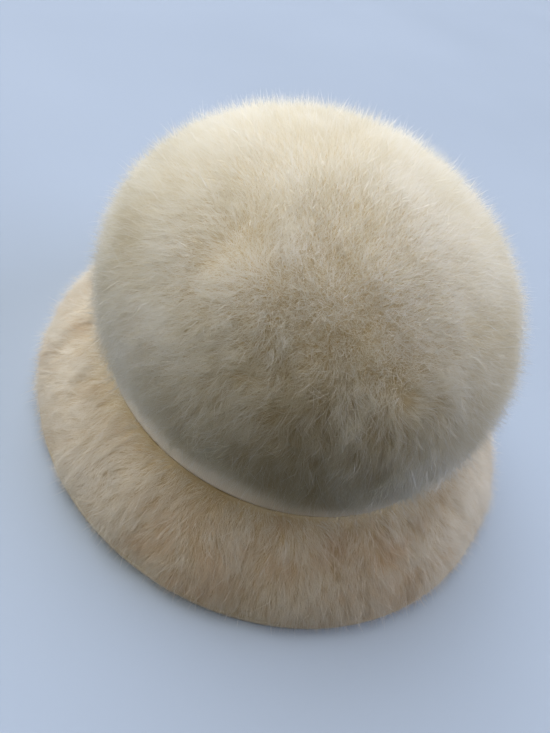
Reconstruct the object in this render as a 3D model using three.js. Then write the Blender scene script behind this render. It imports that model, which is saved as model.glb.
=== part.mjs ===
// A long-napped fur felt hat: a domed crown, a ribbon round its foot and a brim that slopes down to the ground.
// Millimetres, +Z up, the front towards -Y, the origin on the ground under the middle of the crown.
import * as THREE from "three";

// The felt body is turned as a round hat and then pressed to the head's oval.
const HEAD_GIRTH = 575; // round the inside of the crown
const OVALITY = 0.037; // share by which the hat is longer, and narrower, than a round one
const FELT = 2.2; // thickness of the felt
const SEAM_GAP = 0.3; // between pieces that are sewn together
const SEAM_HEIGHT = 37; // from the ground to the crown's lower edge
const WALL_HEIGHT = 37; // upright stretch of the crown above the seam
const DOME_HEIGHT = 75; // from the upright stretch to the top of the felt

// The ribbon lies round the foot of the crown, on the brim's ledge.
const RIBBON_WIDTH = 20;
const RIBBON_THICKNESS = 1;
const RIBBON_BOW = 0.4; // how far its middle stands out beyond its edges

// The brim falls from the seam to a cut edge, on which the hat rests.
const LEDGE = 1; // flat top that shows outside the ribbon
const BRIM_EDGE_RADIUS = 130.5;
const BRIM_EDGE_HEIGHT = 2; // upright face of the cut edge
const BRIM_BULGE = 4.5; // how far its slope rounds out of a straight line

// The nap is a coat of pointed locks in rows, each row hanging over the one below it.
const CROWN_NAP = 6.2; // depth over the felt
const BRIM_NAP = 4.6;
const BRIM_NAP_START = 9; // from the cut edge to the roots of the lowest row
const ROW_PITCH = 13.5;
const LOCK_WIDTH = 19;
const LOCK_VARIETY = 0.3; // share by which the smallest lock falls short of the largest
const NAP_TOP = 0.8; // share of the nap's depth at the very top

// The rings of one row, from under its points to its roots. Rise and hang are shares of the row's pitch:
// how far up the row the ring lies, and how far its points hang below that. Lift is a share of the nap's
// depth, and ridge the share of the lift that is lost between two locks.
const LOCK_RINGS = [
  { rise: 0.0, hang: 0.0, lift: 0.3, ridge: 0.0 },
  { rise: 0.05, hang: 0.55, lift: 1.0, ridge: 0.25 },
  { rise: 0.55, hang: 0.15, lift: 0.7, ridge: 0.2 },
];

const COLUMNS = 60; // facets round the hat
const LOCKS_ROUND = [30, 20, 15, 12, 10, 6]; // counts that share the columns out evenly
const DOME_STEPS = 5; // half the facets from the wall to the top inside the crown
const UNDERSIDE_STEPS = 6; // facets across the underside of the brim

const CROWN_INNER = HEAD_GIRTH / (2 * Math.PI);
const CROWN_OUTER = CROWN_INNER + FELT;
const WALL_TOP = SEAM_HEIGHT + WALL_HEIGHT;
const RIBBON_INNER = CROWN_OUTER + SEAM_GAP;
const RIBBON_OUTER = RIBBON_INNER + RIBBON_THICKNESS;
const LEDGE_HEIGHT = SEAM_HEIGHT - SEAM_GAP;
const LEDGE_RADIUS = RIBBON_OUTER + LEDGE;
const CROWN_NAP_START = RIBBON_WIDTH + 2 * SEAM_GAP; // above the seam

// The felt's outer line on the crown, or its inner one at a smaller radius, from the seam up to the axis.
function crownLine(radius) {
  const rise = DOME_HEIGHT - (CROWN_OUTER - radius);
  const line = new THREE.CurvePath();
  line.add(new THREE.LineCurve(new THREE.Vector2(radius, SEAM_HEIGHT), new THREE.Vector2(radius, WALL_TOP)));
  line.add(new THREE.EllipseCurve(0, WALL_TOP, radius, rise, 0, Math.PI / 2));
  return line;
}

// The felt's upper line on the brim, from the cut edge up to the ledge.
function brimLine() {
  const edge = new THREE.Vector2(BRIM_EDGE_RADIUS, BRIM_EDGE_HEIGHT);
  const ledge = new THREE.Vector2(LEDGE_RADIUS, LEDGE_HEIGHT);
  const slope = ledge.clone().sub(edge).normalize();
  const outward = new THREE.Vector2(slope.y, -slope.x);
  const middle = edge.clone().lerp(ledge, 0.5).addScaledVector(outward, BRIM_BULGE * 2);
  return new THREE.QuadraticBezierCurve(edge, middle, ledge);
}

// A line's place at a share of its length, with the directions up along the felt and out of it.
function feltFrame(line, share) {
  const up = line.getTangentAt(share);
  return { place: line.getPointAt(share), up, out: new THREE.Vector2(up.y, -up.x) };
}

// How many locks stand side by side round the hat at a radius.
function locksRound(radius) {
  const wanted = (2 * Math.PI * radius) / LOCK_WIDTH;
  return LOCKS_ROUND.reduce((best, count) =>
    Math.abs(count - wanted) < Math.abs(best - wanted) ? count : best,
  );
}

// A ring is a function that gives its radius and height at a column. This one is the same all round.
function plainRing(radius, height) {
  return () => new THREE.Vector2(radius, height);
}

// The rings of a coat of locks on a felt line, from a distance along the line up to its end. The locks of one
// row lie over the gaps of the row below.
function napRings(line, depth, start) {
  const length = line.getLength();
  const rows = Math.round((length - start) / ROW_PITCH);
  const pitch = (length - start) / rows;
  const rings = [];
  for (let row = 0; row < rows; row++) {
    const foot = start + row * pitch;
    const locks = locksRound(line.getPointAt(foot / length).x);
    for (const { rise, hang, lift, ridge } of LOCK_RINGS) {
      const { place, up, out } = feltFrame(line, (foot + rise * pitch) / length);
      rings.push((column) => {
        const across = (column * locks) / COLUMNS + row / 2;
        const lock = Math.floor(across) % locks;
        const point = 1 - Math.abs(2 * (across - Math.floor(across)) - 1);
        const size = 1 - LOCK_VARIETY * THREE.MathUtils.seededRandom(row * COLUMNS + lock);
        const height = depth * lift * size * (1 - ridge * (1 - point));
        return place.clone().addScaledVector(out, height).addScaledVector(up, -pitch * hang * point * size);
      });
    }
  }
  return rings;
}

// Turns a run of rings about the upright axis. The run starts and ends on the axis, or closes on itself.
function turn(rings) {
  const geometry = new THREE.LatheGeometry(rings.map((ring) => ring(0)), COLUMNS);
  const position = geometry.getAttribute("position");
  for (let column = 0; column <= COLUMNS; column++) {
    const angle = (column / COLUMNS) * 2 * Math.PI;
    rings.forEach((ring, index) => {
      const { x: radius, y: height } = ring(column % COLUMNS);
      const vertex = column * rings.length + index;
      position.setXYZ(vertex, radius * Math.sin(angle), height, radius * Math.cos(angle));
    });
  }
  return geometry.rotateX(Math.PI / 2);
}

// The crown: a hollow felt dome, bare inside and behind the ribbon, with the nap over the rest.
function crownGeometry() {
  const inside = crownLine(CROWN_INNER).getPoints(DOME_STEPS).reverse();
  return turn([
    ...inside.map((point) => plainRing(point.x, point.y)),
    plainRing(CROWN_OUTER, SEAM_HEIGHT),
    plainRing(CROWN_OUTER, SEAM_HEIGHT + CROWN_NAP_START),
    ...napRings(crownLine(CROWN_OUTER), CROWN_NAP, CROWN_NAP_START),
    plainRing(0, WALL_TOP + DOME_HEIGHT + CROWN_NAP * NAP_TOP),
  ]);
}

// The ribbon: a thin ring that bows out a little between its two edges.
function ribbonGeometry() {
  const top = SEAM_HEIGHT + RIBBON_WIDTH;
  const middle = SEAM_HEIGHT + RIBBON_WIDTH / 2;
  return turn([
    plainRing(RIBBON_INNER, SEAM_HEIGHT),
    plainRing(RIBBON_OUTER, SEAM_HEIGHT),
    plainRing(RIBBON_OUTER + RIBBON_BOW, middle),
    plainRing(RIBBON_OUTER, top),
    plainRing(RIBBON_INNER, top),
    plainRing(RIBBON_INNER, SEAM_HEIGHT),
  ]);
}

// The brim: a sloping felt skirt with the nap on top, a ledge under the crown and a flat cut edge below.
function brimGeometry() {
  const line = brimLine();
  const edge = feltFrame(line, 0);
  const flat = FELT / Math.abs(edge.up.y); // width of the cut where the sloping felt meets the ground
  const rings = [
    plainRing(BRIM_EDGE_RADIUS - flat, 0),
    plainRing(BRIM_EDGE_RADIUS, 0),
    plainRing(BRIM_EDGE_RADIUS, BRIM_EDGE_HEIGHT),
    ...napRings(line, BRIM_NAP, BRIM_NAP_START),
    plainRing(LEDGE_RADIUS, LEDGE_HEIGHT),
    plainRing(CROWN_INNER, LEDGE_HEIGHT),
  ];
  for (let step = UNDERSIDE_STEPS; step > 0; step--) {
    const { place, out } = feltFrame(line, step / UNDERSIDE_STEPS);
    const under = place.addScaledVector(out, -FELT);
    rings.push(plainRing(Math.max(under.x, CROWN_INNER), under.y));
  }
  return turn([...rings, rings[0]]);
}

function piece(name, geometry, look) {
  const mesh = new THREE.Mesh(geometry, new THREE.MeshStandardMaterial({ ...look, metalness: 0 }));
  mesh.name = name;
  return mesh;
}

const hat = new THREE.Group();
hat.scale.set(1 - OVALITY, 1 + OVALITY, 1);
hat.add(
  piece("crown", crownGeometry(), { color: 0xe9e2d0, roughness: 0.95 }),
  piece("ribbon", ribbonGeometry(), { color: 0xd9cfba, roughness: 0.6 }),
  piece("brim", brimGeometry(), { color: 0xe4d8c2, roughness: 0.95 }),
);

export default hat;
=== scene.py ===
# %% [markdown]
# # A hat of long-napped fur felt
# The hat has three pieces: a hollow domed crown, a ribbon round its foot and a brim that slopes down.
# Their solids come in first as a fixed frame, and the lesson dresses them. The frame could be drawn as it
# is, but its nap is only a coat of big locks. The real nap is single hairs, so most of the lesson grows
# hairs.

# %% Load the frame
from math import cos, pi, radians, sin
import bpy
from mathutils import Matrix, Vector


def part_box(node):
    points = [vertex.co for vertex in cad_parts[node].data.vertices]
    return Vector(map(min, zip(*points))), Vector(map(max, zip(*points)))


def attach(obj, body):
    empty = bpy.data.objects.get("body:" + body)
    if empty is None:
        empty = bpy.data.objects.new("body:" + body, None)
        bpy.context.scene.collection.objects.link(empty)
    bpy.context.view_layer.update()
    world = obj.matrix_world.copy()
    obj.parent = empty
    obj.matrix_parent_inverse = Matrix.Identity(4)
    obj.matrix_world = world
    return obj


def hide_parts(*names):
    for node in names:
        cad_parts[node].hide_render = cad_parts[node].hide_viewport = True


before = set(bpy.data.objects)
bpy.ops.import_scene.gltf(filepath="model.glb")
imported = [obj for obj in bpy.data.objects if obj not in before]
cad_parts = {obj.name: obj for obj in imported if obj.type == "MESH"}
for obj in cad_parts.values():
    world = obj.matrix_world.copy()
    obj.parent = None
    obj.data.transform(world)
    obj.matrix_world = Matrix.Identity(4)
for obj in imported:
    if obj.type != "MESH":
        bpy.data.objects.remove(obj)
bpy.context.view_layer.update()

from types import SimpleNamespace

import bmesh
import bpy
import numpy as np
from mathutils import Matrix, Vector, kdtree

MM = 0.001

# %% [markdown]
# ## Sizes
# The hat is a round one pressed to a head's oval. The ribbon is the cleanest ring in the frame, so its
# box gives the oval, the height of the seam and the radius of the felt behind it. The felt itself is
# hidden under the nap and can't be measured like that, so its thickness and gaps are named, as a hatter
# would note them.

# %% Measure the ribbon and the ledge
FELT = 2.2 * MM
SEAM_GAP = 0.3 * MM
RIBBON_THICKNESS = 1.0 * MM
RIBBON_BOW = 0.4 * MM
LEDGE = 1.0 * MM

ribbon_low, ribbon_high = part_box("ribbon")
ribbon_reach = (ribbon_high.x + ribbon_high.y) / 2
ribbon_width = ribbon_high.z - ribbon_low.z
ribbon_outer = ribbon_reach - RIBBON_BOW
ribbon_inner = ribbon_outer - RIBBON_THICKNESS
crown_outer = ribbon_inner - SEAM_GAP
crown_inner = crown_outer - FELT
oval = np.array([ribbon_high.x / ribbon_reach, ribbon_high.y / ribbon_reach, 1.0])
seam = ribbon_low.z
ledge_radius = ribbon_outer + LEDGE
ledge_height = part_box("brim")[1].z
print("oval", oval, "felt radius", crown_outer, "seam height", seam, "ledge height", ledge_height)

# %% [markdown]
# ## The camera
# The picture is taken close to the hat, from above, with a short lens, and it is turned a little. A
# camera could be dragged into place by eye. Here a few angles and distances place it instead, because its
# three axes are needed again later, to find a spot on the nap from its place in the picture.

# %% Work out the camera's axes
VIEW_AZIMUTH = radians(-55)
VIEW_ELEVATION = radians(48.7)
VIEW_ROLL = radians(19.5)
VIEW_DISTANCE = 297 * MM
HAT_RIGHT, HAT_UP = 7.0 * MM, 9.85 * MM  # how far the hat stands off the middle of the picture

around = Matrix.Rotation(VIEW_AZIMUTH, 3, "Z")
level = around @ Vector((1, 0, 0))
back = around @ Vector((0, -cos(VIEW_ELEVATION), sin(VIEW_ELEVATION)))
upright = back.cross(level)
right = cos(VIEW_ROLL) * level + sin(VIEW_ROLL) * upright
up = cos(VIEW_ROLL) * upright - sin(VIEW_ROLL) * level
eye = Vector((0, 0, seam)) + VIEW_DISTANCE * back - HAT_RIGHT * right - HAT_UP * up
print("the eye is at", eye[:])

# %% Place the camera
PHOTO_WIDTH, PHOTO_HEIGHT = 550, 733
FOCAL_PIXELS = 550
SENSOR = 36
NEAREST = 10 * MM

lens = bpy.data.cameras.new("camera")
lens.sensor_width = SENSOR
lens.lens = SENSOR * FOCAL_PIXELS / max(PHOTO_WIDTH, PHOTO_HEIGHT)
lens.clip_start = NEAREST
camera = bpy.data.objects.new("camera", lens)
camera.matrix_world = Matrix.Translation(eye) @ Matrix((right, up, back)).transposed().to_4x4()
bpy.context.scene.collection.objects.link(camera)
bpy.context.scene.camera = camera
print("the lens is", lens.lens, "mm long")

# %% [markdown]
# ## Helpers for materials
# Every finish is a tree of nodes. It could be built line by line, but three small functions keep it
# short. One turns the sRGB hex colours that people read into the linear ones that a shader needs. One
# adds a node with its settings, its colour stops and its links. One starts a material with an empty tree.

# %% Colours, nodes and new materials


def linear(hex_colour):
    channels = [int(hex_colour[i:i + 2], 16) / 255 for i in (1, 3, 5)]
    return [c / 12.92 if c <= 0.04045 else ((c + 0.055) / 1.055) ** 2.4 for c in channels] + [1.0]


def add(tree, kind, settings=None, inputs=None, stops=()):
    node = tree.nodes.new(kind)
    for name, value in (settings or {}).items():
        setattr(node, name, value)
    for index, (place, colour) in enumerate(stops):
        ramp = node.color_ramp.elements
        stop = ramp[index] if index < len(ramp) else ramp.new(place)
        stop.position = place
        stop.color = linear(colour)
    for name, value in (inputs or {}).items():
        if isinstance(value, bpy.types.NodeSocket):
            tree.links.new(value, node.inputs[name])
        else:
            node.inputs[name].default_value = value
    return node


def new_material(name):
    material = bpy.data.materials.new(name)
    material.use_nodes = True
    material.node_tree.nodes.clear()
    print("new finish:", name)
    return material, material.node_tree


# %% [markdown]
# ## The nap's finish
# The nap is rabbit hair that was brushed up out of the felt: fine, cream to white, and clear enough that
# light comes through it. One colour for all of it would look like plastic. So each hair carries its own
# place on a small map. Across the map runs the hair's tone, from a warm shade to ivory, and up the map
# runs the way from its root to its tip. Two colour ramps read that map. The second darkens and warms
# each hair towards its root: partly the roots' own warmer colour, partly painted shade deep in the nap.
# The brim's hair is a little warmer than the crown's.

# %% Nap material
HAIR_MAP = "OFBake"  # a fixed name that the nap's finish reads; the name by which the export keeps a map
GLOW_SHARE = 0.6
ROOT_SHADE_END = 0.55


def nap_material(name, tones, root_tone_and_painted_shade):
    # Fine hair is matt, so the eye finds no single highlight. Light seeps through it and softens the shade.
    material, tree = new_material(name)
    place = add(tree, "ShaderNodeUVMap", {"uv_map": HAIR_MAP})
    split = add(tree, "ShaderNodeSeparateXYZ", inputs={"Vector": place.outputs["UV"]})
    tone = add(tree, "ShaderNodeValToRGB", inputs={"Fac": split.outputs["X"]}, stops=tones)
    # Partly painted shade: each hair grows darker and warmer towards its root, deep in the nap.
    shade = add(tree, "ShaderNodeValToRGB", inputs={"Fac": split.outputs["Y"]}, stops=[
        (0.0, root_tone_and_painted_shade), (ROOT_SHADE_END, "#ffffff")])
    colour = add(tree, "ShaderNodeMix", {"data_type": "RGBA", "blend_type": "MULTIPLY"}, {
        "Factor": 1.0, "A": tone.outputs["Color"], "B": shade.outputs["Color"]})
    hair = add(tree, "ShaderNodeBsdfPrincipled", inputs={
        "Base Color": colour.outputs["Result"], "Roughness": 0.75, "Specular IOR Level": 0.25,
        "Sheen Weight": 0.15, "Sheen Roughness": 0.5})
    glow = add(tree, "ShaderNodeBsdfTranslucent", inputs={"Color": colour.outputs["Result"]})
    both = add(tree, "ShaderNodeMixShader", inputs={
        "Fac": GLOW_SHARE, 1: hair.outputs["BSDF"], 2: glow.outputs["BSDF"]})
    add(tree, "ShaderNodeOutputMaterial", inputs={"Surface": both.outputs["Shader"]})
    return material


crown_nap_finish = nap_material(
    "cream_rabbit_nap", [(0.0, "#d6caa7"), (0.5, "#f5f1e2"), (1.0, "#fdfbf4")], "#e8dbb9")
brim_nap_finish = nap_material(
    "tan_rabbit_nap", [(0.0, "#e2cba9"), (0.5, "#eee8d9"), (1.0, "#f8f4ea")], "#e6dac6")

# %% [markdown]
# ## The felt's finish
# Bare felt shows inside the crown, under the brim and at the cut edge. It is fur that was shrunk and
# pressed into a cloth. An image of felt could be wrapped round it, but two noises do the same at any
# size: a broad one for the mottle of the fur and a fine one for the pebbled surface.

# %% Felt material
FELT_MOTTLE = 14 * MM
FELT_GRAIN = 0.9 * MM
FELT_PEBBLE = 0.3 * MM


def felt_material():
    # Pressed fur is rough all over, so the eye sees a dull, slightly cloudy surface with a faint bloom.
    material, tree = new_material("pressed_fur_felt")
    coords = add(tree, "ShaderNodeTexCoord")
    mottle = add(tree, "ShaderNodeTexNoise", inputs={
        "Vector": coords.outputs["Object"], "Scale": 1 / FELT_MOTTLE, "Detail": 4.0})
    colour = add(tree, "ShaderNodeValToRGB", inputs={"Fac": mottle.outputs["Fac"]}, stops=[
        (0.35, "#cfbb90"), (0.65, "#dccca8")])
    grain = add(tree, "ShaderNodeTexNoise", inputs={
        "Vector": coords.outputs["Object"], "Scale": 1 / FELT_GRAIN, "Detail": 3.0})
    bump = add(tree, "ShaderNodeBump", inputs={
        "Height": grain.outputs["Fac"], "Strength": 0.5, "Distance": FELT_PEBBLE})
    felt = add(tree, "ShaderNodeBsdfPrincipled", inputs={
        "Base Color": colour.outputs["Color"], "Roughness": 0.92, "Normal": bump.outputs["Normal"],
        "Sheen Weight": 0.25})
    add(tree, "ShaderNodeOutputMaterial", inputs={"Surface": felt.outputs["BSDF"]})
    return material


felt_finish = felt_material()

# %% [markdown]
# ## The ribbon's finish
# A hat ribbon is woven with thick cross threads, which make fine ribs across its width, and its silky
# yarn has a soft sheen. The ribs could be modelled, but they are far too fine for that, so a Wave texture
# on the ribbon's own map raises them. Real ribs are about 0.5 mm apart. That is too fine to show here, so
# they are drawn further apart.

# %% Ribbon material
RIBBON_MAP = "ribbon_map"
RIB_SPACING = 0.9 * MM
RIB_HEIGHT = 0.1 * MM
WAVE_SCALE = pi / 10 / RIB_SPACING  # a Wave texture repeats every pi / 10 of its scaled length


def ribbon_material():
    # Silky yarn is smoother than felt, so the eye sees a clean pale band with a soft light along it.
    material, tree = new_material("ribbed_cotton_rayon_ribbon")
    place = add(tree, "ShaderNodeUVMap", {"uv_map": RIBBON_MAP})
    ribs = add(tree, "ShaderNodeTexWave", {"bands_direction": "X"}, {
        "Vector": place.outputs["UV"], "Scale": WAVE_SCALE, "Distortion": 0.0})
    bump = add(tree, "ShaderNodeBump", inputs={
        "Height": ribs.outputs["Fac"], "Strength": 0.2, "Distance": RIB_HEIGHT})
    # Painted shade: the grooves between the ribs are a little darker than their crests.
    colour = add(tree, "ShaderNodeValToRGB", inputs={"Fac": ribs.outputs["Fac"]}, stops=[
        (0.0, "#e4d8be"), (1.0, "#ebe0c9")])
    silk = add(tree, "ShaderNodeBsdfPrincipled", inputs={
        "Base Color": colour.outputs["Color"], "Roughness": 0.55, "Normal": bump.outputs["Normal"],
        "Sheen Weight": 0.2})
    add(tree, "ShaderNodeOutputMaterial", inputs={"Surface": silk.outputs["BSDF"]})
    return material


ribbon_finish = ribbon_material()

# %% [markdown]
# ## The felt's lines
# A felt hat is blocked over a wooden form, so its wall is a line turned about an axis. The line could be
# traced point by point. A formula needs only a few sizes: the crown goes straight up and closes in a
# quarter ellipse, and the brim falls in one soft bow. The way out of the felt follows from the line, and
# the hairs need it too.

# %% Lines of the crown and the brim
LINE_STEPS = 48
WALL_HEIGHT = 37 * MM
DOME_HEIGHT = 75 * MM
BRIM_EDGE = 130.5 * MM
BRIM_EDGE_HEIGHT = 2.0 * MM
BRIM_BULGE = 4.5 * MM


def crown_line(radius):
    rise = DOME_HEIGHT - (crown_outer - radius)
    angles = np.linspace(0, pi / 2, LINE_STEPS)
    wall = np.array([[radius, seam], [radius, seam + WALL_HEIGHT / 2]])
    dome = np.stack([radius * np.cos(angles), seam + WALL_HEIGHT + rise * np.sin(angles)], 1)
    return np.concatenate([wall, dome])


def brim_line():
    edge = np.array([BRIM_EDGE, BRIM_EDGE_HEIGHT])
    ledge = np.array([ledge_radius, ledge_height])
    slope = (ledge - edge) / np.linalg.norm(ledge - edge)
    middle = (edge + ledge) / 2 + 2 * BRIM_BULGE * np.array([slope[1], -slope[0]])
    share = np.linspace(0, 1, LINE_STEPS // 2)[:, None]
    return (1 - share) ** 2 * edge + 2 * share * (1 - share) * middle + share ** 2 * ledge


def outward(line):
    way = np.gradient(line, axis=0)
    way /= np.linalg.norm(way, axis=1, keepdims=True)
    return np.stack([way[:, 1], -way[:, 0]], 1)


print("the crown's line has", len(crown_line(crown_outer)), "points and the brim's", len(brim_line()))

# %% [markdown]
# ## From a section to a wall
# The block is round and the hat is then pressed oval. A bmesh spin does the same: a few vertices make the
# section, the spin turns it about the upright axis, and a scale presses it. Vertices that meet on the
# axis are merged, and the normals are worked out again, because a spin can leave a wall inside out.

# %% Spin a section into a piece
TURN_STEPS = 120
MERGE_DISTANCE = 0.001 * MM


def spun(name, section, finish, closed):
    bm = bmesh.new()
    ring = [bm.verts.new((radius, 0, height)) for radius, height in section]
    pairs = list(zip(ring, ring[1:])) + ([(ring[-1], ring[0])] if closed else [])
    edges = [bm.edges.new(pair) for pair in pairs]
    bmesh.ops.spin(bm, geom=ring + edges, cent=(0, 0, 0), axis=(0, 0, 1), angle=2 * pi,
                   steps=TURN_STEPS, use_merge=True)
    bmesh.ops.remove_doubles(bm, verts=bm.verts, dist=MERGE_DISTANCE)
    bmesh.ops.scale(bm, vec=oval, verts=bm.verts)
    bmesh.ops.recalc_face_normals(bm, faces=bm.faces)
    for face in bm.faces:
        face.smooth = True
    mesh = bpy.data.meshes.new(name)
    bm.to_mesh(mesh)
    bm.free()
    mesh.materials.append(finish)
    piece = bpy.data.objects.new(name, mesh)
    bpy.context.scene.collection.objects.link(piece)
    print(name, "has", len(mesh.polygons), "faces")
    return piece


# %% [markdown]
# ## The crown's felt
# The crown is one wall of felt. A single surface with a Solidify modifier would do, but the inner line is
# known as well as the outer one. So the section runs down inside, across the cut at the seam and up
# outside.

# %% Crown felt
crown_section = np.concatenate([crown_line(crown_inner)[::-1], crown_line(crown_outer)])
crown_felt = spun("crown_felt", crown_section, felt_finish, closed=False)

# %% [markdown]
# ## The brim's felt
# The brim is a skirt that rests on its cut edge. Its underside is its upper line set back by the felt's
# thickness, as cloth of even thickness has it. It stops at the ground and at the head's opening.

# %% Brim felt
brim_top = brim_line()
brim_under = (brim_top - FELT * outward(brim_top))[::-1]
brim_under = brim_under[brim_under[:, 1] > 0]
brim_under[:, 0] = np.maximum(brim_under[:, 0], crown_inner)
cut_width = FELT / abs(outward(brim_top)[0, 0])
cut_edge = [[BRIM_EDGE - cut_width, 0], [BRIM_EDGE, 0]]
brim_section = np.concatenate([cut_edge, brim_top, [[crown_inner, ledge_height]], brim_under])
brim_felt = spun("brim_felt", brim_section, felt_finish, closed=True)

# %% [markdown]
# ## The ribbon
# The ribbon is a thin band that bows out a little between its edges. A plain cylinder would look like
# card, so its section has the bow and two softened edges. It then gets a map of its own, in metres along
# its length and up its width, so that the ribs of its finish follow it round.

# %% Ribbon
RIBBON_STEPS = 9
RIBBON_ROUNDING = 0.3 * MM


def ribbon_section():
    height = np.linspace(0, 1, RIBBON_STEPS)
    bow = RIBBON_BOW * (1 - (2 * height - 1) ** 2)
    outside = np.stack([ribbon_outer + bow, seam + ribbon_width * height], 1)
    outside[[0, -1], 0] -= RIBBON_ROUNDING
    inside = np.array([[ribbon_inner, seam + ribbon_width], [ribbon_inner, seam]])
    return np.concatenate([outside, inside])


ribbon = spun("ribbon_band", ribbon_section(), ribbon_finish, closed=True)

# %% Map of the ribbon
ribbon_map = ribbon.data.uv_layers.new(name=RIBBON_MAP)
for polygon in ribbon.data.polygons:
    middle = np.arctan2(polygon.center.y, polygon.center.x)
    for loop in polygon.loop_indices:
        spot = ribbon.data.vertices[ribbon.data.loops[loop].vertex_index].co
        angle = np.arctan2(spot.y, spot.x)
        angle += 2 * pi * round((middle - angle) / (2 * pi))
        ribbon_map.data[loop].uv = (angle * ribbon_outer, spot.z - seam)
print("the ribbon's map has", len(ribbon_map.data), "corners")

# %% [markdown]
# ## Where the hairs grow
# A particle system could grow the nap, but it leaves no mesh behind. Here each hair is a bent diamond of
# two thin triangles, and arrays hold all of them at once. The roots are spread evenly over the felt by
# the golden angle, as seeds are in a sunflower, with a little chance so that no spiral shows.

# %% Roots on a felt line
GOLDEN_ANGLE = pi * (3 - 5 ** 0.5)
ROOT_STEPS = 2000
ROOT_WOBBLE = 0.002
TINY = 1e-12


def unit(vectors):
    return vectors / np.maximum(np.linalg.norm(vectors, axis=1, keepdims=True), TINY)


def grow_roots(line, count, start, seed):
    """Places, normals, downhill ways and distances up the line, evenly spread from a start on the line."""
    draw = np.random.default_rng(seed)
    steps = np.linalg.norm(np.diff(line, axis=0), axis=1)
    length = np.concatenate([[0], np.cumsum(steps)])
    fine = np.linspace(start, length[-1], ROOT_STEPS)
    radius = np.interp(fine, length, line[:, 0])
    area = np.concatenate([[0], np.cumsum((radius[1:] + radius[:-1]) / 2)])
    share = (np.arange(count) + draw.uniform(0, 1, count)) / count
    spot = np.interp(share * area[-1], area, fine)
    angle = np.arange(count) * GOLDEN_ANGLE + draw.normal(0, ROOT_WOBBLE, count)
    columns = (*line.T, *outward(line).T)
    reach, height, out, rise = (np.interp(spot, length, column) for column in columns)
    circle = np.stack([np.sin(angle), -np.cos(angle), np.zeros(count)], 1)
    places = circle * reach[:, None] * oval
    places[:, 2] = height
    normals = circle * out[:, None] / oval
    normals[:, 2] = rise
    downhill = circle * rise[:, None] * oval
    downhill[:, 2] = -out
    return places, unit(normals), unit(downhill), spot - start


# %% [markdown]
# ## Spots from the picture
# Brush marks are easiest to note where they are seen, so their spots are pixels of the picture. They
# could be turned into places by hand. Here the camera's axes turn every root into a pixel, and the
# nearest root on the side that faces the camera is the spot. From then on the mark belongs to the felt
# and stays there from any side.

# %% Find a spot on the felt


def in_picture(places):
    offset = places - np.array(eye)
    depth = -(offset @ np.array(back))
    across = PHOTO_WIDTH / 2 + FOCAL_PIXELS * (offset @ np.array(right)) / depth
    down = PHOTO_HEIGHT / 2 - FOCAL_PIXELS * (offset @ np.array(up)) / depth
    return np.stack([across, down], 1)


def spot_at(pixel, places, normals):
    """The place nearest to a pixel of the picture, on the side that faces the camera."""
    facing = (normals * (np.array(eye) - places)).sum(1) > 0
    miss = np.linalg.norm(in_picture(places) - np.array(pixel), axis=1)
    return places[np.argmin(np.where(facing, miss, np.inf))]


def nearness(places, spot, reach):
    """1 at a spot, falling away smoothly over a reach."""
    return np.exp(-((places - spot) ** 2).sum(1) / reach ** 2)


print("the foot of the crown's axis is at pixel", in_picture(np.array([[0, 0, seam]]))[0])

# %% [markdown]
# ## Unevenness
# No brush leaves hair quite straight, and no felt is quite even. A noise texture would stay in the
# shader, but the hairs need a number at each root. A few plane waves in all directions, added up, give a
# smooth one. Each table has a row for each wavelength, and every draw starts from a fixed seed, so that
# the hat comes out the same each time.

# %% Ripples over the felt
SEEDS = {
    "crown_growth": 1, "crown_roots": 11, "crown_nap": 12, "crown_wander": 13,
    "brim_growth": 3, "brim_roots": 21, "brim_nap": 22, "brim_wander": 23,
}
WAVE_VARIETY = (0.6, 1.6)  # shortest and longest wave of a ripple, as shares of its length
WANDER = [
    {"depth": 1.0, "length": 28 * MM, "waves": 9},
    {"depth": 0.6, "length": 11 * MM, "waves": 9},
    {"depth": 0.7, "length": 6 * MM, "waves": 25},
]
print("the nap wanders in ripples of", [round(row["length"] / MM) for row in WANDER], "mm")


def ripple(places, wavelength, waves, seed):
    """Smooth noise about 0 with a spread of about 1."""
    draw = np.random.default_rng(seed)
    total = np.zeros(len(places))
    for _ in range(waves):
        way = draw.normal(size=3)
        way *= 2 * pi / (wavelength * draw.uniform(*WAVE_VARIETY) * np.linalg.norm(way))
        total += np.sin(places @ way + draw.uniform(0, 2 * pi))
    return total / (waves / 2) ** 0.5


def uneven(places, ripples, seed):
    rows = enumerate(ripples)
    return sum(row["depth"] * ripple(places, row["length"], row["waves"], seed + n) for n, row in rows)


# %% [markdown]
# ## How the crown's nap stands
# The nap of the crown stands up round the spot that faces the camera, and further out it lies down, away
# from that spot and a little downhill. Every hair could be combed by hand in Blender's sculpt mode.
# Numbers are easier to repeat: each hair gets a way along the felt and a lean, from 0 for upright to 1
# for lying down.

# %% Stand the nap up
STAND_SPOT = (330, 310)
STAND_REACH = 85 * MM
LEAST_LEAN = 0.12
DOWNHILL_PULL = 0.4


def along_surface(vectors, normals):
    return vectors - normals * (vectors * normals).sum(1, keepdims=True)


def turned(vectors, axes, angles):
    """Vectors turned about unit axes that stand square to them."""
    return vectors * np.cos(angles)[:, None] + np.cross(axes, vectors) * np.sin(angles)[:, None]


def stand_up(places, normals, downhill):
    away = places - spot_at(STAND_SPOT, places, normals)
    distance = np.linalg.norm(away, axis=1)
    lean = LEAST_LEAN + (1 - LEAST_LEAN) * np.clip(distance / STAND_REACH, 0, 1) ** 2
    flow = (unit(along_surface(away, normals)) + DOWNHILL_PULL * downhill) * lean[:, None]
    return flow, lean


# %% [markdown]
# ## Brush strokes on the crown
# Wear and brushing give the nap its life, and a row of a short table holds each stroke that shows. A
# burst parts the hair round its spot, a comb lays it right and down across the picture, and growth makes
# it longer or presses it short. Spots and combs are in the picture's pixels and directions.

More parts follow.
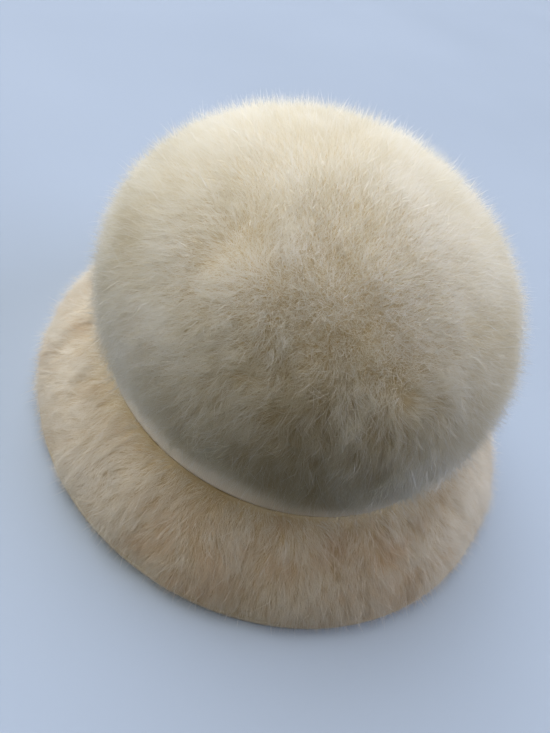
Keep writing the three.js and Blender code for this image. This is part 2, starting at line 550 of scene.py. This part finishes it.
# %% Stroke the crown
STROKES = [
    {"at": (330, 310), "reach_mm": 45, "burst": 0.0, "comb": (0.0, 0.0), "growth": -0.15},
    {"at": (402, 398), "reach_mm": 20, "burst": 1.1, "comb": (0.1, 0.3), "growth": 0.0},
    {"at": (215, 430), "reach_mm": 60, "burst": 0.0, "comb": (-0.9, 0.5), "growth": 0.0},
    {"at": (365, 480), "reach_mm": 26, "burst": 0.0, "comb": (-0.1, 1.2), "growth": 0.2},
    {"at": (265, 243), "reach_mm": 14, "burst": 0.0, "comb": (0.7, -0.6), "growth": 0.2},
    {"at": (222, 250), "reach_mm": 9, "burst": 0.2, "comb": (-0.3, 0.2), "growth": -0.35},
    {"at": (165, 415), "reach_mm": 6, "burst": 0.2, "comb": (0.0, 0.0), "growth": -0.4},
    {"at": (512, 352), "reach_mm": 8, "burst": 0.4, "comb": (0.0, 0.0), "growth": -0.35},
]
STROKE_LEAN = 0.5
print("the crown has", len(STROKES), "brush strokes")


def stroke_crown(places, normals, flow, lean, growth):
    for stroke in STROKES:
        spot = spot_at(stroke["at"], places, normals)
        weight = nearness(places, spot, stroke["reach_mm"] * MM)
        comb = stroke["comb"][0] * np.array(right) - stroke["comb"][1] * np.array(up)
        push = stroke["burst"] * unit(along_surface(places - spot, normals)) + comb
        flow = flow + weight[:, None] * push
        lean = np.minimum(1, lean + weight * np.linalg.norm(push, axis=1) * STROKE_LEAN)
        growth = growth + weight * stroke["growth"]
    return flow, lean, growth


# %% [markdown]
# ## The whole brushing of the crown
# Low at the front the nap is ruffled: its way wanders more there, and its length varies more. At the foot
# of the crown it hangs over the ribbon, so there it is drawn downhill, lies flatter and grows longer.

# %% Brush the crown
RUFFLE_SPOT = (295, 400)
RUFFLE_REACH = 60 * MM
CALM_RUFFLE, FULL_RUFFLE = 0.3, 0.85
RUFFLE_TURN = 0.42
CROWN_GROWTH = [
    {"depth": 0.12, "length": 22 * MM, "waves": 9},
    {"depth": 0.08, "length": 8 * MM, "waves": 9},
]
HANG_REACH = 7 * MM
HANG_PULL, HANG_LEAN, HANG_GROWTH = 0.6, 0.3, 0.22


def brush_crown(places, normals, downhill):
    """The way each hair lies along the felt, how far it leans over and how long it grows."""
    flow, lean = stand_up(places, normals, downhill)
    ruffled = nearness(places, spot_at(RUFFLE_SPOT, places, normals), RUFFLE_REACH)
    ruffle = CALM_RUFFLE + FULL_RUFFLE * ruffled
    growth = 1 + ruffle * uneven(places, CROWN_GROWTH, SEEDS["crown_growth"])
    flow, lean, growth = stroke_crown(places, normals, flow, lean, growth)
    turn = RUFFLE_TURN * ruffle * uneven(places, WANDER, SEEDS["crown_wander"])
    flow = turned(along_surface(flow, normals), normals, turn)
    hang = np.exp(-(places[:, 2] - ribbon_high.z) / HANG_REACH)
    return flow + HANG_PULL * hang[:, None] * downhill, lean + HANG_LEAN * hang, growth + HANG_GROWTH * hang


# %% [markdown]
# ## Brushing the brim
# The brim's nap is brushed straight down to the cut edge and wanders only a little. Beside the ribbon it
# is shorter and stands up, because the brush can't get into that corner.

# %% Brush the brim
BRIM_TURN = 0.20
BRIM_GROWTH = [{"depth": 0.12, "length": 25 * MM, "waves": 9}]
CORNER_DEPTH = 2.5 * MM
CORNER_LEAN, CORNER_GROWTH = 0.4, 0.6


def brush_brim(places, normals, downhill):
    growth = 1 + uneven(places, BRIM_GROWTH, SEEDS["brim_growth"])
    clear = np.clip((ledge_height - places[:, 2]) / CORNER_DEPTH, 0, 1)
    turn = BRIM_TURN * uneven(places, WANDER, SEEDS["brim_wander"])
    flow = turned(along_surface(downhill, normals), normals, turn)
    lean = CORNER_LEAN + (1 - CORNER_LEAN) * clear
    return flow, lean, growth * (CORNER_GROWTH + (1 - CORNER_GROWTH) * clear)


# %% [markdown]
# ## Tints and painted light
# The nap's tone is uneven, and some light and shade is painted into it too. A painted image could hold
# the patches, but it would need a map over the whole felt. Here each patch is a row of a table, and it
# shifts the tone of the hairs round its spot: up to ivory, or down to the warm shade. Some rows paint
# light: the crown is lighter at the middle of its near side, and the brim is lighter at its far right.
# Some rows paint shade: the crown is darker low on its near side, and the brim is darker under the
# crown's front. The rest make the tone uneven. A wide mottle goes over all of it.

# %% Patches of tint
CROWN_TINTS_AND_PAINTED_LIGHT = [
    # painted light: lighter at the middle of the crown's near side
    {"at": (320, 310), "reach_mm": 40, "tone": 0.25},
    # painted light: lighter above and to the right of that middle
    {"at": (400, 250), "reach_mm": 25, "tone": 0.15},
    # painted shade: darker and warmer low on the crown's near side
    {"at": (300, 430), "reach_mm": 34, "tone": -0.30},
    {"at": (375, 485), "reach_mm": 14, "tone": 0.15},
    {"at": (480, 365), "reach_mm": 22, "tone": -0.20},
]
BRIM_TINTS_AND_PAINTED_LIGHT = [
    # painted light: lighter on the brim's far right
    {"at": (470, 500), "reach_mm": 22, "tone": 0.30},
    # painted shadow: darker on the brim under the crown's front
    {"at": (375, 545), "reach_mm": 20, "tone": -0.22},
    {"at": (165, 525), "reach_mm": 20, "tone": -0.22},
    {"at": (115, 478), "reach_mm": 18, "tone": 0.24},
    {"at": (225, 572), "reach_mm": 16, "tone": -0.15},
]
MOTTLE = [
    {"depth": 1.0, "length": 45 * MM, "waves": 9},
    {"depth": 0.6, "length": 14 * MM, "waves": 9},
]
print(len(CROWN_TINTS_AND_PAINTED_LIGHT), "patches of tint on the crown and", len(BRIM_TINTS_AND_PAINTED_LIGHT), "on the brim")


def tint(places, normals, patches):
    """How much lighter or darker the patches make the hairs: partly uneven tone, partly painted light and
    shade.
    """
    total = np.zeros(len(places))
    for patch in patches:
        spot = spot_at(patch["at"], places, normals)
        total += patch["tone"] * nearness(places, spot, patch["reach_mm"] * MM)
    return total


# %% [markdown]
# ## Tufts and chance
# Hairs hold together in tufts, so every hair belongs to the nearest tuft and shares its swing, tone and
# size. A search tree finds that tuft quickly. Then each hair gets changes of its own. Some hairs are
# strays, long and thin, that leave their tuft. A few are guard hairs, longer, thicker and paler than the
# down.

# %% Draw the tufts and the hairs' own changes
TUFT_TONE, TUFT_SIZE = 0.09, 0.07
GUARD_SHARE = 0.04
STRAY_STRETCH = (1.0, 1.7)


def gather_tufts(places, look, draw):
    """The hairs that lead the tufts, and for every hair the number of its tuft."""
    leaders = draw.choice(len(places), int(look["area"] / look["tuft_spacing"] ** 2), replace=False)
    tree = kdtree.KDTree(len(leaders))
    for index, place in enumerate(places[leaders]):
        tree.insert(place, index)
    tree.balance()
    return leaders, np.array([tree.find(place)[1] for place in places])


def draw_chance(normals, leaders, tuft, look, draw):
    """All that chance gives the hairs, drawn in one fixed order."""
    count = len(normals)
    chance = SimpleNamespace()
    chance.tuft_swing = draw.normal(0, look["tuft_swing"], len(leaders))[tuft]
    chance.tuft_tone = draw.normal(0, TUFT_TONE, len(leaders))[tuft]
    chance.tuft_size = draw.normal(1, TUFT_SIZE, len(leaders))[tuft]
    chance.length, chance.swing, chance.rise, chance.bend, chance.tone = draw.normal(0, 1, (5, count))
    chance.stir = along_surface(draw.normal(0, 1, (count, 3)), normals)
    chance.stray = draw.uniform(0, 1, count) < look["strays"]
    chance.guard = draw.uniform(0, 1, count) < GUARD_SHARE
    chance.stretch = draw.uniform(*STRAY_STRETCH, count)
    chance.twist = draw.uniform(-1, 1, count) * look["twist"]
    return chance


# %% [markdown]
# ## How long the hairs are and which way they grow
# A hair rises from the felt at one angle and bends over to another, and both open out as the hair leans.
# Standing hair is stirred more than lying hair. Strays swing further, rise more steeply and curl over
# more than the rest.

# %% Lengths and ways of the hairs
LENGTH_SPREAD = 0.16
STRAY_LIMIT = 14 * MM
GUARD_STRETCH = 1.15
STRAY_SWING = 2.5
STANDING_STIR = 1.6
RISE_SPREAD, BEND_SPREAD = 7, 9
STRAY_CURL, STRAY_CURL_SPREAD = 0.6, 0.3


def hair_lengths(growth, climb, look, chance):
    length = look["length"] * growth * chance.tuft_size * (1 + LENGTH_SPREAD * chance.length)
    length = np.where(chance.stray, np.minimum(length * chance.stretch, STRAY_LIMIT), length)
    length = np.where(chance.guard, length * GUARD_STRETCH, length)
    return length * np.clip(look["foot"] + climb / look["foot_reach"], 0, 1)


def hair_ways(flow, normals, lean, look, chance):
    """The way a hair leans along the felt, and its angles off upright at the root and at the tip."""
    swing = chance.tuft_swing + np.where(chance.stray, STRAY_SWING, 1.0) * look["own_swing"] * chance.swing
    stir = look["stir"] * (STANDING_STIR - (STANDING_STIR - 1) * lean)[:, None] * chance.stir
    flow = unit(turned(flow, normals, swing) + stir)
    rise = np.radians(look["rise"][0] + look["rise"][1] * lean + RISE_SPREAD * chance.rise)
    bend = np.radians(look["bend"][0] + look["bend"][1] * lean + BEND_SPREAD * chance.bend)
    rise = np.where(chance.stray, look["stray_rise"] * rise, rise)
    bend = np.where(chance.stray, rise + STRAY_CURL + STRAY_CURL_SPREAD * chance.bend, bend)
    return flow, rise, bend


# %% [markdown]
# ## Points of the hairs
# Three points make a hair: a root just under the felt's surface, a middle and a tip. A smooth curve would
# need more, but at this size the eye doesn't tell. The tips of a tuft are then drawn together, more where
# the nap lies down, and no point goes through the ground.

# %% Root, middle and tip
ROOT_DEPTH = 0.4 * MM
LOWER_SHARE = 0.45
GROUND_GAP = 0.6 * MM
STANDING_HOLD = 0.3


def hair_points(places, normals, flow, rise, bend, length):
    first = normals * np.cos(rise)[:, None] + flow * np.sin(rise)[:, None]
    last = normals * np.cos(bend)[:, None] + flow * np.sin(bend)[:, None]
    root = places - normals * ROOT_DEPTH
    middle = root + first * (length * LOWER_SHARE)[:, None]
    tip = middle + last * (length * (1 - LOWER_SHARE))[:, None]
    return root, middle, tip


def hold_tufts(middle, tip, leaders, tuft, lean, look, chance):
    grip = look["hold"] * (STANDING_HOLD + (1 - STANDING_HOLD) * lean ** 3)
    hold = np.where(chance.stray | chance.guard, 0.0, grip)[:, None]
    middle = middle + (middle[leaders][tuft] - middle) * hold * LOWER_SHARE
    tip = tip + (tip[leaders][tuft] - tip) * hold
    for points in (middle, tip):
        points[:, 2] = np.maximum(points[:, 2], GROUND_GAP)
    return middle, tip


# %% [markdown]
# ## Tones and widths
# Each hair's tone adds up from the mottle, the patches of tint and painted light and shade, its tuft and
# its own chance. At the brim's cut edge the hairs are a little darker, where hands have held it. The hairs
# are several times as wide as real ones, because fewer of them have to cover the felt.

# %% Tones and widths of the hairs
MIDDLE_TONE, OWN_TONE, GUARD_TONE = 0.55, 0.10, 0.97
TONE_LIMITS = (0.02, 0.98)
EDGE_TINT_REACH = 5 * MM
HAIR_WIDTH = 0.16 * MM
GUARD_WIDTH, STRAY_WIDTH = 1.15, 0.42
MOTTLE_SEED_STEP = 3


def hair_tones(places, normals, climb, look, chance, seed):
    mottle = look["mottle"] * uneven(places, MOTTLE, seed + MOTTLE_SEED_STEP)
    # The patches add uneven tone and also painted light and shade.
    mottle += tint(places, normals, look["tints_and_painted_light"])
    mottle -= look["edge_tint"] * np.exp(-climb / EDGE_TINT_REACH)
    tone = np.clip(MIDDLE_TONE + mottle + chance.tuft_tone + OWN_TONE * chance.tone, *TONE_LIMITS)
    return np.where(chance.guard, GUARD_TONE, tone)


def hair_widths(chance):
    return np.where(chance.guard, GUARD_WIDTH, np.where(chance.stray, STRAY_WIDTH, 1.0)) * HAIR_WIDTH


# %% [markdown]
# ## Growing a nap
# One function now puts the steps together: brush the roots, gather them in tufts, draw chance, and work
# out each hair's points, tone and width. The crown and the brim both use it, each with its own brushing
# and its own look.

# %% Grow a nap


def grow_nap(roots, brush, look, seed):
    """Points, normals, twists, tones and widths of all the hairs on one felt surface."""
    draw = np.random.default_rng(seed)
    places, normals, downhill, climb = roots
    flow, lean, growth = brush(places, normals, downhill)
    leaders, tuft = gather_tufts(places, look, draw)
    chance = draw_chance(normals, leaders, tuft, look, draw)
    length = hair_lengths(growth, climb, look, chance)
    flow, rise, bend = hair_ways(flow, normals, lean, look, chance)
    root, middle, tip = hair_points(places, normals, flow, rise, bend, length)
    middle, tip = hold_tufts(middle, tip, leaders, tuft, lean, look, chance)
    tone = hair_tones(places, normals, climb, look, chance, seed)
    print(len(places), "hairs in", len(leaders), "tufts, on average", length.mean() / MM, "mm long")
    return root, middle, tip, normals, chance.twist, tone, hair_widths(chance)


# %% [markdown]
# ## A mesh of hairs
# Each hair becomes a bent diamond: root, two points beside its middle, and tip. A bmesh would build them
# one by one, which is slow for so many, so the arrays go straight into the mesh. Its normals are mostly
# the felt's, so that light falls on the nap as a whole and not on each blade. The hair's tone and height
# go into its map.

# %% Corners and normals of the hairs
CORNERS = np.array([0, 1, 2, 2, 1, 3])  # two triangles on the points root, one side, other side, tip
POINT_SIDE = np.array([0, 1, -1, 0])
POINT_HEIGHT = np.array([0.02, 0.5, 0.5, 0.98])
MAP_HALF_WIDTH = 0.0015
FELT_NORMAL_SHARE = 0.85


def diamond_points(root, middle, tip, normals, twist, width):
    """The four points of each hair, and a normal that is mostly the felt's."""
    way = unit(tip - root)
    side = turned(unit(np.cross(way, normals)), way, twist)
    half = side * width[:, None] / 2
    face = np.cross(side, way)
    face *= np.where((face * normals).sum(1) < 0, -1.0, 1.0)[:, None]
    soft = unit(FELT_NORMAL_SHARE * normals + (1 - FELT_NORMAL_SHARE) * face)
    return np.stack([root, middle + half, middle - half, tip], 1), soft


def diamond_map(tone):
    across = tone[:, None] + POINT_SIDE[CORNERS] * MAP_HALF_WIDTH
    along = np.tile(POINT_HEIGHT[CORNERS], (len(tone), 1))
    return np.stack([across, along], 2)


# %% Mesh of the hairs


def hair_mesh(name, hairs, finish):
    root, middle, tip, normals, twist, tone, width = hairs
    points, soft = diamond_points(root, middle, tip, normals, twist, width)
    count, sides = points.shape[:2]
    corners = np.arange(count)[:, None] * sides + CORNERS
    mesh = bpy.data.meshes.new(name)
    mesh.vertices.add(count * sides)
    mesh.vertices.foreach_set("co", points.astype(np.float32).ravel())
    mesh.loops.add(corners.size)
    mesh.loops.foreach_set("vertex_index", corners.astype(np.int32).ravel())
    mesh.polygons.add(corners.size // 3)
    mesh.polygons.foreach_set("loop_start", np.arange(0, corners.size, 3, dtype=np.int32))
    mesh.update(calc_edges=True)
    mesh.polygons.foreach_set("use_smooth", np.ones(corners.size // 3, bool))
    layer = mesh.uv_layers.new(name=HAIR_MAP)
    layer.uv.foreach_set("vector", diamond_map(tone).astype(np.float32).ravel())
    mesh.normals_split_custom_set_from_vertices(np.repeat(soft, sides, 0).astype(np.float32))
    mesh.materials.append(finish)
    piece = bpy.data.objects.new(name, mesh)
    bpy.context.scene.collection.objects.link(piece)
    print(name, "has", count, "hairs")
    return piece


def share_out(hairs, places, parts):
    """Splits hairs into sectors round the hat, so that no piece is too large."""
    turn = np.arctan2(places[:, 1], places[:, 0]) % (2 * pi) / (2 * pi)
    sector = (turn * parts).astype(int)
    return [tuple(array[sector == part] for array in hairs) for part in range(parts)]


# %% [markdown]
# ## Nap of the crown
# The crown's nap is deep, soft and loose, with many strays, so its outline is a halo of fine hairs. It
# starts above the ribbon. A table of settings describes it, and its angles are in degrees off upright:
# first for standing hair, then how much is added as the hair lies down.

# %% Nap of the crown
CROWN_HAIRS, CROWN_SECTORS = 316_000, 4
CROWN_LOOK = {
    "length": 9.2 * MM,
    "area": 0.060,  # of napped felt, in square metres
    "tuft_spacing": 1.7 * MM,
    "rise": (12, 28),
    "bend": (22, 46),
    "stir": 0.40,
    "tuft_swing": 0.16,
    "own_swing": 0.22,
    "hold": 0.34,  # how far a tip is drawn to its tuft's tip
    "strays": 0.38,  # share of the hairs
    "stray_rise": 0.5,
    "twist": 0.9,
    "mottle": 0.08,
    "foot": 1.0,  # share of the length at the lowest roots
    "foot_reach": 10 * MM,
    "tints_and_painted_light": CROWN_TINTS_AND_PAINTED_LIGHT,
    "edge_tint": 0.0,
}
above_ribbon = ribbon_width + 2 * SEAM_GAP
crown_roots = grow_roots(crown_line(crown_outer), CROWN_HAIRS, above_ribbon, SEEDS["crown_roots"])
crown_hairs = grow_nap(crown_roots, brush_crown, CROWN_LOOK, SEEDS["crown_nap"])
crown_nap = [
    hair_mesh(f"crown_nap_{part}", hairs, crown_nap_finish)
    for part, hairs in enumerate(share_out(crown_hairs, crown_roots[0], CROWN_SECTORS), 1)]

# %% [markdown]
# ## Nap of the brim
# The brim's nap is brushed flatter and holds together in larger tufts, with fewer strays. It is short at
# the cut edge, where shears have trimmed it, and full further up. It grows on the ledge too, up to the
# ribbon.

# %% Nap of the brim
BRIM_HAIRS, BRIM_SECTORS = 146_000, 2
BRIM_NAP_START = 3.0 * MM
BRIM_LOOK = {
    "length": 8.5 * MM,
    "area": 0.036,
    "tuft_spacing": 2.2 * MM,
    "rise": (10, 44),
    "bend": (40, 36),
    "stir": 0.20,
    "tuft_swing": 0.14,
    "own_swing": 0.18,
    "hold": 0.28,
    "strays": 0.25,
    "stray_rise": 0.6,
    "twist": 0.8,
    "mottle": 0.09,
    "foot": 0.30,
    "foot_reach": 14 * MM,
    "tints_and_painted_light": BRIM_TINTS_AND_PAINTED_LIGHT,
    "edge_tint": 0.25,
}
napped_line = np.concatenate([brim_top, [[ribbon_outer + 2 * SEAM_GAP, ledge_height]]])
brim_roots = grow_roots(napped_line, BRIM_HAIRS, BRIM_NAP_START, SEEDS["brim_roots"])
brim_hairs = grow_nap(brim_roots, brush_brim, BRIM_LOOK, SEEDS["brim_nap"])
brim_nap = [
    hair_mesh(f"brim_nap_{part}", hairs, brim_nap_finish)
    for part, hairs in enumerate(share_out(brim_hairs, brim_roots[0], BRIM_SECTORS), 1)]

# %% [markdown]
# ## The floor
# The hat stands on a plain, pale and slightly blue floor. One large disc is enough, with a faint cloud in
# its colour so that it isn't dead flat. In soft light a floor throws light back up. Here it would
# brighten the near side of the hat, which lies in shade, so the floor isn't seen by the light that
# bounces.

# %% Floor
FLOOR_REACH = 8.0
FLOOR_SEGMENTS = 96
FLOOR_CLOUD = 250 * MM


def floor_material():
    # Matt paper takes a soft shadow and shows no reflection, so the eye stays on the hat.
    material, tree = new_material("pale_blue_paper")
    coords = add(tree, "ShaderNodeTexCoord")
    cloud = add(tree, "ShaderNodeTexNoise", inputs={
        "Vector": coords.outputs["Object"], "Scale": 1 / FLOOR_CLOUD})
    colour = add(tree, "ShaderNodeValToRGB", inputs={"Fac": cloud.outputs["Fac"]}, stops=[
        (0.3, "#98a3b0"), (0.7, "#9ca7b4")])
    paper = add(tree, "ShaderNodeBsdfPrincipled", inputs={
        "Base Color": colour.outputs["Color"], "Roughness": 0.7, "Specular IOR Level": 0.2})
    add(tree, "ShaderNodeOutputMaterial", inputs={"Surface": paper.outputs["BSDF"]})
    return material


bm = bmesh.new()
bmesh.ops.create_circle(bm, cap_ends=True, cap_tris=True, segments=FLOOR_SEGMENTS, radius=FLOOR_REACH)
floor_mesh = bpy.data.meshes.new("floor")
bm.to_mesh(floor_mesh)
bm.free()
floor_mesh.materials.append(floor_material())
floor = bpy.data.objects.new("floor", floor_mesh)
bpy.context.scene.collection.objects.link(floor)
floor.visible_diffuse = False
print("the floor reaches", FLOOR_REACH, "m from the hat")

# %% [markdown]
# ## Light
# The light is soft and comes from above, from behind and from both sides, with little on the near side.
# Area lamps would do, but they fall off with distance. Suns with a wide spread light every side evenly.
# Their ways are given as seen in the picture: right, away from the camera, and up. The backdrop only
# shows, and gives no light.

# %% Lamps
LAMPS = [
    {"name": "overhead", "way": (0.0, 0.36, 1.0), "spread": 60, "strength": 2.3, "colour": "#fff6e6"},
    {"name": "behind", "way": (0.0, 0.84, 1.0), "spread": 60, "strength": 2.7, "colour": "#d3e3ff"},
    {"name": "low_left", "way": (-1.0, 0.0, 0.2), "spread": 50, "strength": 2.85, "colour": "#e0eaff"},
    {"name": "low_right", "way": (1.0, 0.0, 0.2), "spread": 50, "strength": 2.55, "colour": "#dbe4ff"},
    {"name": "front", "way": (0.0, -0.6, 1.0), "spread": 60, "strength": 0.26, "colour": "#fff0cd"},
]
picture_up = (up * cos(VIEW_ELEVATION) + back * sin(VIEW_ELEVATION)).normalized()
picture_away = picture_up.cross(right).normalized()
for lamp in LAMPS:
    way = lamp["way"][0] * right + lamp["way"][1] * picture_away + lamp["way"][2] * picture_up
    light = bpy.data.lights.new(lamp["name"], "SUN")
    light.angle = radians(lamp["spread"])
    light.energy = lamp["strength"]
    light.color = linear(lamp["colour"])[:3]
    holder = bpy.data.objects.new(lamp["name"], light)
    holder.rotation_euler = way.to_track_quat("Z", "Y").to_euler()
    bpy.context.scene.collection.objects.link(holder)
    print(lamp["name"], "shines from", way.normalized()[:])

# %% Backdrop
BACKDROP = "#c3cedc"

world = bpy.data.worlds.new("pale_backdrop")
bpy.context.scene.world = world
world.use_nodes = True
world.node_tree.nodes["Background"].inputs["Color"].default_value = linear(BACKDROP)
world.cycles_visibility.diffuse = False
world.cycles_visibility.glossy = False
world.cycles_visibility.transmission = False
bpy.context.scene.view_settings.view_transform = "Standard"
print("backdrop", BACKDROP)

# %% [markdown]
# ## Hand the pieces to the frame
# Each piece hides the solid that it stands for, and it rides on the one body. The hat has nothing that
# moves, so that body is the root.

# %% Ride and replace
for piece, node, slot in [
    (crown_felt, "crown", "crown_nap"), *((nap, "crown", "crown_nap") for nap in crown_nap),
    (ribbon, "ribbon", "ribbon"),
    (brim_felt, "brim", "brim_nap"), *((nap, "brim", "brim_nap") for nap in brim_nap),
]:
    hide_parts(node)
    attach(piece, "root")
